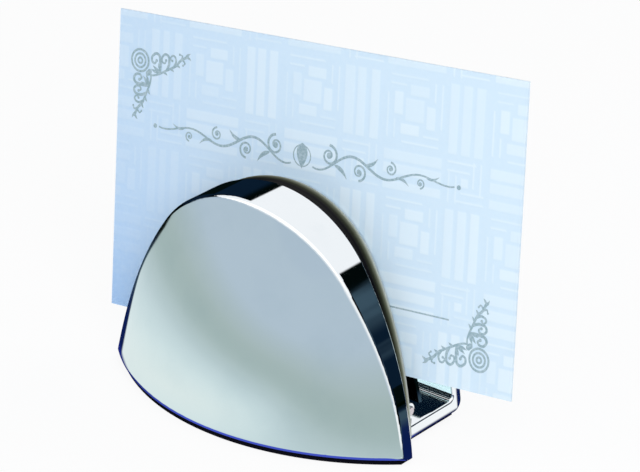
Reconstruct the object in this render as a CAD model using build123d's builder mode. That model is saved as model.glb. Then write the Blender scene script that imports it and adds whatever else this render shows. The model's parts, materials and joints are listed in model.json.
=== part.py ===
from build123d import *
import os
from math import acos, atan2, cos, hypot, pi, radians, sin, sqrt, tan

# Place card holder: a bowed, arch-shaped chrome shell on a foot that runs out behind it.
# A sprung clamp plate, hinged on the foot, presses a card against the shell's back cover.
# Millimetres and degrees. Z is up from the table, X across, and the front faces -Y.
# Y = 0 is the shell's back rim at table level.

# Front shell: arch outline, bowed face and hollow
half_width = 33.3
arch_height = 41.8
side_radius = 70.0
side_lean = 9.2
face_lean = 14.1
nose_depth = 15.4
side_depth = 2.9
rim_lean = 6.0
shell_wall = 2.0
face_edge_round = 0.9
rim_edge_round = 0.35

# Pad under everything
pad_thickness = 0.8
pad_inset = 0.9
pad_lap = 1.0

# Foot: base plate in the shell, floor behind it, upturned lip and hinge lugs
foot_half_width = 29.0
foot_depth = 20.0
foot_thickness = 2.7
lip_thickness = 2.3
lip_height = 9.6
lip_lean = 8.0
lip_outer_round = 2.0
lip_inner_round = 1.0
lip_top_round = 0.7
foot_side_round = 0.5
fit_gap = 0.15

# Back cover, the fixed jaw
jaw_lean = 11.0
jaw_proud = 1.0
cover_wall = 1.6
cover_skirt = 2.5
cover_edge_round = 0.9
flange_inset = 0.6
cover_floor_gap = 0.4

# Hinge and clamp plate
pivot_y = 5.7
pin_radius = 0.6
pin_clearance = 0.03
pin_head_radius = 0.95
pin_head_height = 0.45
sheet = 0.8
lug_outer_x = 28.0
lug_length = 6.0
lug_web = 2.1
knuckle_length = 12.0
knuckle_gap = 0.3
plate_inset = 2.2
plate_edge_gap = 0.4
jaw_length = 26.0
flare_length = 10.0
flare_angle = 16.0
bend_radius = 1.5

# Torsion spring
wire_radius = 0.35
coil_radius = 1.9
coil_turns = 8
coil_pitch = 1.2
spring_seat_gap = 0.05
leg_gap = 0.1
leg_bend = 1.0
floor_leg = 6.5
plate_leg = 8.0
gap_samples = 40

# Card
card_width = 90.0
card_height = 55.0
card_thickness = 0.35
card_gap = 0.1
card_shift = 3.24
card_centre = 39.12
card_turn = 5.6

# Screws and their bosses
screw_radius = 1.1
screw_head_radius = 2.1
screw_length = 7.5
screw_gap = 0.02
drive_radius = 0.65
drive_depth = 0.7
boss_radius = 2.6
base_screw_x = 15.0
base_screw_y = -6.5
base_boss_top = 18.0
cover_screw_x = 13.0
cover_screw_up = 22.0

# Levels and hinge sizes that follow
base_z = pad_thickness
floor_z = base_z + foot_thickness
reach = 4 * half_width
barrel_bore = pin_radius + pin_clearance
barrel_radius = barrel_bore + sheet
pivot_z = floor_z + spring_seat_gap + wire_radius + coil_radius
lug_inner_x = lug_outer_x - lug_length
knuckle_outer_x = lug_inner_x - knuckle_gap
knuckle_inner_x = knuckle_outer_x - knuckle_length
screw_cone = screw_head_radius - screw_radius

# Bow of the face in plan, from the nose back to the depth of the side walls at the base
face_bow = nose_depth - side_depth
face_radius = (half_width**2 + face_bow**2) / (2 * face_bow)

# Arch: side arcs start at the base, leaning in, and run into one crown arc
side_centre_x = half_width - side_radius * cos(radians(side_lean))
side_centre_z = base_z - side_radius * sin(radians(side_lean))
crown_rise = arch_height - side_centre_z
crown_radius = (side_centre_x**2 + crown_rise**2 - side_radius**2) / (2 * (crown_rise - side_radius))
blend_angle = atan2(crown_rise - crown_radius, -side_centre_x)


def leaning_plane(lean, y):
    """A plane across the holder that faces the front and leans back, through y at table level."""
    return Plane((0, y, 0), x_dir=(1, 0, 0), z_dir=(0, -cos(radians(lean)), sin(radians(lean))))


rim_plane = leaning_plane(rim_lean, 0)
jaw_plane = leaning_plane(jaw_lean, jaw_proud)
face_up = (0, sin(radians(face_lean)), cos(radians(face_lean)))
face_plane = Plane((0, -nose_depth, base_z), x_dir=(1, 0, 0), z_dir=face_up)

# Clamp plate at rest: it leans until its bend lies against the card
pivot = Vector(0, pivot_y, pivot_z)
pivot_behind_jaw = -jaw_plane.to_local_coords(pivot).Z
bend_behind_jaw = 2 * card_gap + card_thickness
jaw_reach = hypot(barrel_bore, jaw_length)
closing = acos((bend_behind_jaw - pivot_behind_jaw) / jaw_reach) - atan2(jaw_length, barrel_bore)
plate_lean = radians(jaw_lean) - closing
plate_back = Vector(0, cos(plate_lean), -sin(plate_lean))
plate_up = Vector(0, sin(plate_lean), cos(plate_lean))
plate_side = Plane(pivot, x_dir=plate_back, z_dir=(1, 0, 0))


def arch_face(inset, low_z):
    """The arch outline, set in by inset and cut off flat at low_z, as a face across Y."""
    side_r = side_radius - inset
    foot_x = side_centre_x + sqrt(side_r**2 - (low_z - side_centre_z) ** 2)
    foot_angle = atan2(low_z - side_centre_z, foot_x - side_centre_x)
    mid_angle = (foot_angle + blend_angle) / 2
    middle_x = side_centre_x + side_r * cos(mid_angle)
    middle_z = side_centre_z + side_r * sin(mid_angle)
    blend_x = side_centre_x + side_r * cos(blend_angle)
    blend_z = side_centre_z + side_r * sin(blend_angle)
    with BuildSketch(Plane.XZ) as arch:
        with BuildLine():
            ThreePointArc((foot_x, low_z), (middle_x, middle_z), (blend_x, blend_z))
            ThreePointArc((blend_x, blend_z), (0, arch_height - inset), (-blend_x, blend_z))
            ThreePointArc((-blend_x, blend_z), (-middle_x, middle_z), (-foot_x, low_z))
            Line((-foot_x, low_z), (foot_x, low_z))
        make_face()
    return arch.sketch


def bow_face(inset):
    """All that lies behind the bowed face, set in by inset, as a face across the face's own lean."""
    with BuildSketch(face_plane) as bow:
        with Locations((0, face_radius)):
            Circle(face_radius - inset)
            Rectangle(2 * (face_radius - inset), reach, align=(Align.CENTER, Align.MIN))
    return bow.sketch


def bowed_body(inset, low_z):
    """The bowed arch, set in by inset, from low_z up and on through the back rim."""
    with BuildPart() as body:
        extrude(arch_face(inset, low_z), amount=reach, both=True)
        extrude(bow_face(inset), amount=reach, both=True, mode=Mode.INTERSECT)
    return body.part


def along_x(profile, start, end):
    """A profile across X, run from start to end."""
    with BuildPart() as bar:
        extrude(profile, amount=end - start)
    return bar.part.moved(Location((start, 0, 0)))


def hinge_bar(radius, start, end):
    """A round bar on the hinge line, from start to end along X."""
    with BuildSketch(Plane(pivot, x_dir=(0, 1, 0), z_dir=(1, 0, 0))) as disc:
        Circle(radius)
    return along_x(disc.sketch, start, end)


def screw():
    """A countersunk screw with a hexagon socket, its head flush with Z = 0 and its shank up +Z."""
    with BuildPart() as body:
        with BuildSketch(Plane.XZ):
            with BuildLine():
                Polyline(
                    (0, 0),
                    (screw_head_radius, 0),
                    (screw_radius, screw_cone),
                    (screw_radius, screw_length - screw_radius / 2),
                    (screw_radius / 2, screw_length),
                    (0, screw_length),
                    close=True,
                )
            make_face()
        revolve(axis=Axis.Z)
        with BuildSketch():
            RegularPolygon(drive_radius, 6)
        extrude(amount=drive_depth, mode=Mode.SUBTRACT)
    return body.part


def screw_seat():
    """The hole that such a screw needs, open at its head."""
    hole = screw_radius + screw_gap
    with BuildPart() as seat:
        with BuildSketch(Plane.XZ):
            with BuildLine():
                Polyline(
                    (0, -screw_cone),
                    (hole + 2 * screw_cone, -screw_cone),
                    (hole, screw_cone),
                    (hole, screw_length + screw_gap),
                    (0, screw_length + screw_radius),
                    close=True,
                )
            make_face()
        revolve(axis=Axis.Z)
    return seat.part


base_screw_places = [Location((x, base_screw_y, base_z)) for x in (-base_screw_x, base_screw_x)]
cover_screw_places = [
    jaw_plane.location * Location((x, cover_screw_up, 0)) for x in (-cover_screw_x, cover_screw_x)
]

# Bosses inside the shell, from its face to the base plate and to the back cover
with BuildPart() as bosses:
    with BuildSketch(Plane.XY.offset(floor_z + fit_gap)):
        with Locations((-base_screw_x, base_screw_y), (base_screw_x, base_screw_y)):
            Circle(boss_radius)
    extrude(amount=base_boss_top - floor_z)
    with BuildSketch(jaw_plane.offset(cover_wall)):
        with Locations((-cover_screw_x, cover_screw_up), (cover_screw_x, cover_screw_up)):
            Circle(boss_radius)
    extrude(amount=reach)
    add(bowed_body(shell_wall / 2, base_z), mode=Mode.INTERSECT)

# Front shell, open at the back and below
with BuildPart() as front_shell:
    add(bowed_body(0, base_z))
    split(bisect_by=rim_plane, keep=Keep.TOP)
    fillet(front_shell.faces().sort_by(Axis.Y)[0].edges(), face_edge_round)
    rim_edges = front_shell.faces().sort_by(Axis.Y)[-1].edges()
    fillet(rim_edges.filter_by(lambda edge: edge.center().Z > floor_z), rim_edge_round)
    add(bowed_body(shell_wall, 0), mode=Mode.SUBTRACT)
    add(bosses.part)
    for place in base_screw_places + cover_screw_places:
        add(screw_seat().moved(place), mode=Mode.SUBTRACT)

# Back cover: a tray with its skirt in the shell, a flange on the shell's rim and its jaw face leaning back
cover_inset = shell_wall + fit_gap
cover_low = floor_z + cover_floor_gap
with BuildPart() as cover_hollow:
    add(bowed_body(cover_inset + cover_wall, cover_low + cover_wall))
    split(bisect_by=jaw_plane.offset(cover_wall), keep=Keep.TOP)
with BuildPart() as cover_flange:
    add(bowed_body(flange_inset, cover_low))
    split(bisect_by=rim_plane.offset(-fit_gap), keep=Keep.BOTTOM)
with BuildPart() as back_cover:
    add(bowed_body(cover_inset, cover_low))
    split(bisect_by=rim_plane.offset(cover_skirt), keep=Keep.BOTTOM)
    add(cover_flange.part)
    split(bisect_by=jaw_plane, keep=Keep.TOP)
    fillet(back_cover.faces().filter_by(jaw_plane).edges(), cover_edge_round)
    add(cover_hollow.part, mode=Mode.SUBTRACT)
    for place in cover_screw_places:
        add(screw_seat().moved(place), mode=Mode.SUBTRACT)

# Foot: base plate in the shell, floor behind it, upturned lip leaning in, and hinge lugs
lip_slope = tan(radians(lip_lean))
lip_top_y = foot_depth - (lip_height - base_z) * lip_slope
lip_in = foot_depth - (floor_z - base_z) * lip_slope - lip_thickness
rim_slope = tan(radians(rim_lean))
with BuildSketch(Plane.YZ) as floor_profile:
    with BuildLine():
        Polyline(
            (base_z * rim_slope, base_z),
            (foot_depth, base_z),
            (lip_top_y, lip_height),
            (lip_top_y - lip_thickness, lip_height),
            (lip_in, floor_z),
            (floor_z * rim_slope, floor_z),
            close=True,
        )
    make_face()
    fillet(floor_profile.vertices().sort_by_distance((foot_depth, base_z))[0], lip_outer_round)
    fillet(floor_profile.vertices().sort_by_distance((lip_in, floor_z))[0], lip_inner_round)
    fillet(floor_profile.vertices().group_by(Axis.Y)[-1], lip_top_round)
with BuildSketch(Plane.YZ) as lug_profile:
    with Locations((pivot_y, pivot_z)):
        Circle(barrel_radius)
    with Locations((pivot_y - barrel_radius, base_z)):
        Rectangle(lug_web, pivot_z - base_z, align=(Align.MIN, Align.MIN))
with BuildPart() as floor_bar:
    add(along_x(floor_profile.sketch, -foot_half_width, foot_half_width))
    for end in floor_bar.faces().filter_by(Plane.YZ):
        fillet(end.edges().sort_by(Axis.Y)[1:], foot_side_round)
with BuildPart() as base_foot:
    add(bowed_body(shell_wall + fit_gap, base_z))
    split(bisect_by=rim_plane, keep=Keep.TOP)
    split(bisect_by=Plane.XY.offset(floor_z), keep=Keep.BOTTOM)
    add(floor_bar.part)
    add(along_x(lug_profile.sketch, -lug_outer_x, -lug_inner_x))
    add(along_x(lug_profile.sketch, lug_inner_x, lug_outer_x))
    add(hinge_bar(barrel_bore, -lug_outer_x, lug_outer_x), mode=Mode.SUBTRACT)
    for place in base_screw_places:
        add(screw_seat().moved(place), mode=Mode.SUBTRACT)

# Pad, a little smaller than what stands on it
with BuildPart() as base_pad:
    add(bowed_body(pad_inset, base_z).moved(Location((0, 0, -pad_thickness))))
    split(bisect_by=Plane.XY.offset(pad_thickness), keep=Keep.BOTTOM)
    split(bisect_by=Plane.XZ, keep=Keep.TOP)
    with BuildSketch():
        with Locations((0, -pad_lap)):
            Rectangle(
                2 * (foot_half_width - pad_inset),
                foot_depth - lip_outer_round + pad_lap,
                align=(Align.CENTER, Align.MIN),
            )
    extrude(amount=pad_thickness)

# Clamp plate: bent sheet cut to the arch, with knuckles rolled round the pin
flare = radians(flare_angle)
bend_front = (barrel_bore, jaw_length)
bend_rear = (barrel_radius, jaw_length - sheet * tan(flare / 2))
flare_run = Vector(flare_length * sin(flare), flare_length * cos(flare))
with BuildSketch(plate_side) as sheet_profile:
    with BuildLine():
        top_front = Vector(*bend_front) + flare_run
        Polyline(
            (barrel_bore, 0),
            bend_front,
            top_front,
            top_front + Vector(sheet * cos(flare), -sheet * sin(flare)),
            bend_rear,
            (barrel_radius, 0),
            close=True,
        )
    make_face()
    fillet(sheet_profile.vertices().sort_by_distance(bend_front)[0], bend_radius + sheet)
    fillet(sheet_profile.vertices().sort_by_distance(bend_rear)[0], bend_radius)


def plate_notch(height):
    """A cut across the foot of the clamp plate, up to a height above the hinge line."""
    with BuildSketch(plate_side) as notch:
        Rectangle(4 * barrel_radius, height, align=(Align.CENTER, Align.MIN))
    return notch.sketch


lug_notch = plate_notch(barrel_radius + plate_edge_gap)
coil_notch = plate_notch(coil_radius + wire_radius + plate_edge_gap)
with BuildPart() as clamp_plate:
    add(along_x(sheet_profile.sketch, -half_width, half_width))
    extrude(arch_face(plate_inset, 0), amount=reach, both=True, mode=Mode.INTERSECT)
    add(along_x(lug_notch, -half_width, -knuckle_outer_x), mode=Mode.SUBTRACT)
    add(along_x(coil_notch, -knuckle_inner_x, knuckle_inner_x), mode=Mode.SUBTRACT)
    add(along_x(lug_notch, knuckle_outer_x, half_width), mode=Mode.SUBTRACT)
    add(hinge_bar(barrel_radius, -knuckle_outer_x, -knuckle_inner_x))
    add(hinge_bar(barrel_radius, knuckle_inner_x, knuckle_outer_x))
    add(hinge_bar(barrel_bore, -half_width, half_width), mode=Mode.SUBTRACT)

# Hinge pin with a rounded head at each end
pin_end = lug_outer_x + pin_head_height
with BuildPart() as hinge_pin:
    add(hinge_bar(pin_radius, -pin_end, pin_end))
    add(hinge_bar(pin_head_radius, -pin_end, -lug_outer_x))
    add(hinge_bar(pin_head_radius, lug_outer_x, pin_end))
    fillet(hinge_pin.edges().filter_by(GeomType.CIRCLE).group_by(Axis.X)[0], pin_head_height / 2)
    fillet(hinge_pin.edges().filter_by(GeomType.CIRCLE).group_by(Axis.X)[-1], pin_head_height / 2)

# Torsion spring: one wire, from the floor round the pin and through the plate's notch to its back
last_turn = coil_turns + 0.5


def coil_point(turn):
    """Middle of the wire after so many turns, from the foot of the coil forward, up and over."""
    angle = -pi / 2 - 2 * pi * turn
    x = coil_pitch * (turn - last_turn / 2)
    return pivot + Vector(x, coil_radius * cos(angle), coil_radius * sin(angle))


def coil_heading(turn):
    """Direction of the wire there."""
    angle = -pi / 2 - 2 * pi * turn
    around = 2 * pi * coil_radius
    return Vector(coil_pitch, around * sin(angle), -around * cos(angle)).normalized()


def add_biarc(start, start_heading, end, end_heading):
    """Two arcs that keep both headings and run smoothly into each other."""
    span = end - start
    turning = 1 - start_heading.dot(end_heading)
    along = span.dot(start_heading + end_heading)
    handle = (sqrt(along**2 + 2 * turning * span.dot(span)) - along) / (2 * turning)
    joint = (start + end + (start_heading - end_heading) * handle) * 0.5
    TangentArc(start, joint, tangent=start_heading)
    TangentArc(joint, end, tangent=(joint - start - start_heading * handle).normalized())


leg_behind_pivot = barrel_radius + leg_gap + wire_radius
coil_end = coil_point(last_turn)
end_heading = coil_heading(last_turn)
leg_run = (leg_behind_pivot - (coil_end - pivot).dot(plate_back)) / end_heading.dot(plate_back)
leg_corner = coil_end + end_heading * leg_run
with BuildPart() as torsion_spring:
    with BuildLine() as wire:
        Line(coil_point(0) - coil_heading(0) * floor_leg, coil_point(0))
        for step in range(round(4 * last_turn)):
            here = step / 4
            there = here + 1 / 4
            add_biarc(coil_point(here), coil_heading(here), coil_point(there), coil_heading(there))
        FilletPolyline(coil_end, leg_corner, leg_corner + plate_up * plate_leg, radius=leg_bend)
    with BuildSketch(Plane(wire.line @ 0, z_dir=wire.line % 0)):
        Circle(wire_radius)
    sweep(path=wire.line)

# Least gap between neighbouring turns of the wire, measured on points
coil_points = [coil_point(step / gap_samples) for step in range(round(last_turn * gap_samples))]
turn_gaps = [
    (coil_points[later] - coil_points[earlier]).length - 2 * wire_radius
    for earlier in range(len(coil_points))
    for later in range(earlier + gap_samples // 2, len(coil_points))
]
print(f"torsion_spring: least gap to itself {min(turn_gaps):.2f} mm")

# Card, gripped a little turned and to one side
with BuildPart() as place_card:
    with BuildSketch(jaw_plane.offset(-card_gap)):
        with Locations((card_shift, card_centre)):
            Rectangle(card_width, card_height, rotation=card_turn)
    extrude(amount=-card_thickness)

# Screws, two alike for each place they hold
with BuildPart() as cover_screws:
    for place in cover_screw_places:
        add(screw().moved(place))
with BuildPart() as base_screws:
    for place in base_screw_places:
        add(screw().moved(place))

# One file for each piece
pieces = {
    "front_shell": front_shell,
    "back_cover": back_cover,
    "cover_screws": cover_screws,
    "base_foot": base_foot,
    "base_screws": base_screws,
    "base_pad": base_pad,
    "clamp_plate": clamp_plate,
    "hinge_pin": hinge_pin,
    "torsion_spring": torsion_spring,
    "place_card": place_card,
}
os.makedirs("parts", exist_ok=True)
for label, piece in pieces.items():
    piece.part.label = label
    export_step(piece.part, f"parts/{label}.step")
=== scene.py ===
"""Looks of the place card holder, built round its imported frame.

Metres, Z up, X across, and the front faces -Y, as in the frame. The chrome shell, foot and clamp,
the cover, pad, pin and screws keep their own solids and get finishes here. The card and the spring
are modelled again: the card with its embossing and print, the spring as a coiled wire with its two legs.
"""

from __future__ import annotations

import json
import logging
import math
from collections.abc import Sequence
from dataclasses import dataclass, field, replace
from enum import Enum
from functools import reduce
from typing import Union

import bpy
import numpy as np
from mathutils import Matrix, Vector

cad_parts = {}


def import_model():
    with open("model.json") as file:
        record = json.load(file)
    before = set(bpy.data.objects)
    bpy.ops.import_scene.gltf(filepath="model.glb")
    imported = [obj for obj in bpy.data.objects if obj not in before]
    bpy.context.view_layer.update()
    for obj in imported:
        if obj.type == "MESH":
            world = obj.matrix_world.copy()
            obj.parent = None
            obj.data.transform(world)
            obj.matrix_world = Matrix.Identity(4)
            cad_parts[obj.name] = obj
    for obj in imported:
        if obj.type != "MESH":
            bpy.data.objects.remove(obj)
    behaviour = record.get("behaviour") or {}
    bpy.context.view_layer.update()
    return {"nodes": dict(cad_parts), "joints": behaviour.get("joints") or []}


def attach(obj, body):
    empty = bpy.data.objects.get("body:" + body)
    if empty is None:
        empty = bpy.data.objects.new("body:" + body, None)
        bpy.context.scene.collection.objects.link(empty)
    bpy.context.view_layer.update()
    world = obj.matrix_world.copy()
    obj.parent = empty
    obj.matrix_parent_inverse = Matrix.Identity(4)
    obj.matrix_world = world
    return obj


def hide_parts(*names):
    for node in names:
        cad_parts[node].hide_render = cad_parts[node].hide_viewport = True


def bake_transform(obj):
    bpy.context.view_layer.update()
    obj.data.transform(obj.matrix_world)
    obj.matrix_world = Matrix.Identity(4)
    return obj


LOG = logging.getLogger("place_card_holder")
MM = 0.001
RIGHT = Vector((1.0, 0.0, 0.0))
REAR = Vector((0.0, 1.0, 0.0))
UP = Vector((0.0, 0.0, 1.0))

Socket = bpy.types.NodeSocket
Colour = tuple[float, float, float]
Place = tuple[float, float, float]
Point = tuple[float, float]
# A span is where something starts and ends, or where a mask is 0 and 1, and a band is two of them
Span = tuple[float, float]
Band = tuple[Span, Span]
Value = Union[Socket, float, Colour]


class Body(str, Enum):
    """The moving bodies of the frame."""

    STAND = "stand"
    CLAMP = "clamp"
    CARD = "card"


class Wiring:
    """Adds nodes to one node tree and links them."""

    def __init__(self, tree: bpy.types.NodeTree) -> None:
        """Keep the tree that the nodes go into."""
        self.tree = tree

    def add(self, kind: str, inputs: dict | None = None, **settings) -> bpy.types.Node:
        """Add a node and fill it in.

        Args:
            kind: Blender's name of the node type.
            inputs: Input sockets by name or number, each a value or a socket to link.
            settings: Properties of the node, such as its operation.

        Returns:
            The new node.
        """
        node = self.tree.nodes.new(kind)
        for name, value in settings.items():
            setattr(node, name, value)
        for key, value in (inputs or {}).items():
            self.feed(node.inputs[key], value)
        return node

    def feed(self, socket: Socket, value: Value) -> None:
        """Link a socket to another one, or set it to a plain value.

        Args:
            socket: Input socket.
            value: Output socket or plain value.
        """
        if isinstance(value, Socket):
            self.tree.links.new(value, socket)
        elif socket.type == "RGBA":
            socket.default_value = (*value, 1.0)
        else:
            socket.default_value = value

    def math(self, operation: str, first: Value, second: Value = 0.0, third: Value = 0.0) -> Socket:
        """Work out one number from two, or from three for a sum with a product."""
        return self.add("ShaderNodeMath", {0: first, 1: second, 2: third}, operation=operation).outputs[0]

    def product(self, *values: Value) -> Socket:
        """Multiply numbers in turn."""
        return reduce(lambda first, second: self.math("MULTIPLY", first, second), values)

    def run(self, value: Socket, span: Span) -> Socket:
        """Go smoothly from 0 to 1 while a value goes from the start of a span to its end."""
        inputs = {0: value, 1: span[0], 2: span[1]}
        return self.add("ShaderNodeMapRange", inputs, interpolation_type="SMOOTHSTEP").outputs[0]

    def band(self, value: Socket, edges: Band) -> Socket:
        """Go from 0 to 1 over one span of a value and back over another."""
        return self.product(self.run(value, edges[0]), self.run(value, edges[1]))

    def blend(self, share: Value, first: Value, second: Value) -> Socket:
        """Mix two colours by a share of the second."""
        return self.add("ShaderNodeMix", {0: share, 6: first, 7: second}, data_type="RGBA").outputs[2]

    def noise(self, vector: Socket, scale: Value, detail: float = 3.0) -> Socket:
        """Soft noise from 0 to 1."""
        return self.add("ShaderNodeTexNoise", {"Vector": vector, "Scale": scale, "Detail": detail}).outputs[0]

    def moved(self, vector: Socket, location: Place, scale: Place) -> Socket:
        """Coordinates scaled along each axis, then moved."""
        inputs = {"Vector": vector, "Location": location, "Scale": scale}
        return self.add("ShaderNodeMapping", inputs).outputs[0]

    def length(self, vector: Socket) -> Socket:
        """Length of a vector."""
        return self.add("ShaderNodeVectorMath", {0: vector}, operation="LENGTH").outputs["Value"]

    def parts(self, vector: Socket) -> list[Socket]:
        """Parts of a vector along X, Y and Z."""
        return list(self.add("ShaderNodeSeparateXYZ", {0: vector}).outputs)

    def colour_steps(self, value: Socket, steps: dict[float, Colour]) -> Socket:
        """Colours that follow each other as a value goes from 0 to 1.

        Args:
            value: Socket that is read.
            steps: Colour at each place.

        Returns:
            The output socket.
        """
        node = self.add("ShaderNodeValToRGB", {0: value})
        node.color_ramp.interpolation = "CARDINAL"
        stops = node.color_ramp.elements
        while len(stops) < len(steps):
            stops.new(1.0)
        for stop, (place, colour) in zip(stops, steps.items()):
            stop.position = place
            stop.color = (*colour, 1.0)
        return node.outputs[0]


def blank_wiring(owner: bpy.types.Material | bpy.types.World) -> Wiring:
    """Clear the nodes of a material or a world, to wire them afresh.

    Args:
        owner: The material or the world.

    Returns:
        Its wiring.
    """
    owner.use_nodes = True
    owner.node_tree.nodes.clear()
    return Wiring(owner.node_tree)


def new_group(
    name: str, inputs: dict[str, float], outputs: tuple[str, ...]
) -> tuple[bpy.types.NodeTree, Wiring, bpy.types.Node, bpy.types.Node]:
    """Start a shader node group of numbers.

    Args:
        name: Name of the group.
        inputs: Inputs and their defaults.
        outputs: Names of the outputs.

    Returns:
        The group, its wiring, its input node and its output node.
    """
    group = bpy.data.node_groups.new(name, "ShaderNodeTree")
    for label, default in inputs.items():
        socket = group.interface.new_socket(label, in_out="INPUT", socket_type="NodeSocketFloat")
        socket.default_value = default
    for label in outputs:
        group.interface.new_socket(label, in_out="OUTPUT", socket_type="NodeSocketFloat")
    wiring = Wiring(group)
    return group, wiring, wiring.add("NodeGroupInput"), wiring.add("NodeGroupOutput")


def polish_marks() -> bpy.types.NodeTree:
    """Faint smudges and hairline marks that buffing and handling leave on bare or plated metal.

    Returns:
        The node group, which is made at the first call.
    """
    found = bpy.data.node_groups.get("polish_marks")
    if found:
        return found
    sizes = {"Smudge Scale": 90.0, "Hairline Scale": 900.0}
    group, wiring, given, result = new_group("polish_marks", sizes, ("Smudge", "Height"))
    place = wiring.add("ShaderNodeTexCoord").outputs["Object"]
    smudge = wiring.noise(place, given.outputs["Smudge Scale"], detail=4.0)
    drawn_out = wiring.moved(place, location=(0.0, 0.0, 0.0), scale=(0.05, 1.0, 1.0))
    hairline = wiring.noise(drawn_out, given.outputs["Hairline Scale"], detail=2.0)
    wiring.feed(result.inputs["Smudge"], wiring.run(smudge, span=(0.45, 0.75)))
    wiring.feed(result.inputs["Height"], hairline)
    return group


def fine_grain() -> bpy.types.NodeTree:
    """Fine pebbled grain with slow changes of tone, as on moulded plastic, rubber and paper.

    Returns:
        The node group, which is made at the first call.
    """
    found = bpy.data.node_groups.get("fine_grain")
    if found:
        return found
    sizes = {"Grain Scale": 3000.0, "Tone Scale": 150.0}
    group, wiring, given, result = new_group("fine_grain", sizes, ("Tone", "Height"))
    place = wiring.add("ShaderNodeTexCoord").outputs["Object"]
    pebbles = {"Vector": place, "Scale": given.outputs["Grain Scale"]}
    grain = wiring.add("ShaderNodeTexVoronoi", pebbles, feature="SMOOTH_F1").outputs["Distance"]
    wiring.feed(result.inputs["Tone"], wiring.noise(place, given.outputs["Tone Scale"], detail=5.0))
    wiring.feed(result.inputs["Height"], grain)
    return group


def vary_roughness(
    wiring: Wiring, shader: bpy.types.Node, mask: Socket, spread: float, base: float
) -> None:
    """Let a mask change a shader's roughness."""
    change = wiring.math("MULTIPLY", mask, spread)
    wiring.feed(shader.inputs["Roughness"], wiring.math("ADD", change, base))


def add_bump(wiring: Wiring, shader: bpy.types.Node, height: Socket, strength: float, depth: float) -> None:
    """Let a height tilt a shader's normal."""
    inputs = {"Height": height, "Strength": strength, "Distance": depth}
    wiring.feed(shader.inputs["Normal"], wiring.add("ShaderNodeBump", inputs).outputs[0])


class Finish:
    """Look of a piece, made as a material."""

    name: str

    def material(self) -> bpy.types.Material:
        """Make the material round a principled shader.

        Returns:
            The material.
        """
        material = bpy.data.materials.new(self.name)
        wiring = blank_wiring(material)
        shader = wiring.add("ShaderNodeBsdfPrincipled")
        wiring.add("ShaderNodeOutputMaterial", {"Surface": shader.outputs[0]})
        self.wire(wiring, shader)
        return material

    def wire(self, wiring: Wiring, shader: bpy.types.Node) -> None:
        """Feed the shader, which each finish does in its own way.

        Args:
            wiring: Wiring of the material.
            shader: Its principled shader.
        """
        raise NotImplementedError


@dataclass(frozen=True)
class MetalFinish(Finish):
    """Bare or plated metal, with smudges that dull it and hairlines from polishing."""

    name: str
    colour: Colour
    dulled: Colour
    roughness: float
    haze: float
    hairline: float
    smudge_scale: float = 90.0
    hairline_scale: float = 900.0
    hairline_depth: float = 0.02 * MM

    def wire(self, wiring: Wiring, shader: bpy.types.Node) -> None:
        """Dull the metal by its smudges.

        Args:
            wiring: Wiring of the material.
            shader: Its principled shader.
        """
        sizes = {"Smudge Scale": self.smudge_scale, "Hairline Scale": self.hairline_scale}
        marks = wiring.add("ShaderNodeGroup", sizes, node_tree=polish_marks())
        smudge = marks.outputs["Smudge"]
        shader.inputs["Metallic"].default_value = 1.0
        wiring.feed(shader.inputs["Base Color"], wiring.blend(smudge, self.colour, self.dulled))
        vary_roughness(wiring, shader, smudge, self.haze, self.roughness)
        add_bump(wiring, shader, marks.outputs["Height"], self.hairline, self.hairline_depth)


@dataclass(frozen=True)
class GrainFinish(Finish):
    """Moulded plastic or rubber with a fine grain, worn paler in places."""

    name: str
    colour: Colour
    # The pad's paler tone in places; the cover's finish uses this colour for its painted highlight
    worn_and_highlight: Colour
    roughness: float
    roughness_spread: float
    specular: float
    grain_scale: float
    grain_depth: float
    grain_strength: float = 0.5

    def wire(self, wiring: Wiring, shader: bpy.types.Node) -> None:
        """Grain the surface.

        Args:
            wiring: Wiring of the material.
            shader: Its principled shader.
        """
        grain = wiring.add("ShaderNodeGroup", {"Grain Scale": self.grain_scale}, node_tree=fine_grain())
        tone = grain.outputs["Tone"]
        shader.inputs["Specular IOR Level"].default_value = self.specular
        wiring.feed(shader.inputs["Base Color"], self.base_colour(wiring, tone))
        vary_roughness(wiring, shader, tone, self.roughness_spread, self.roughness)
        add_bump(wiring, shader, grain.outputs["Height"], self.grain_strength, self.grain_depth)

    def base_colour(self, wiring: Wiring, tone: Socket) -> Socket:
        """Colour by the slow changes of tone."""
        return wiring.blend(tone, self.colour, self.worn_and_highlight)


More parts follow.
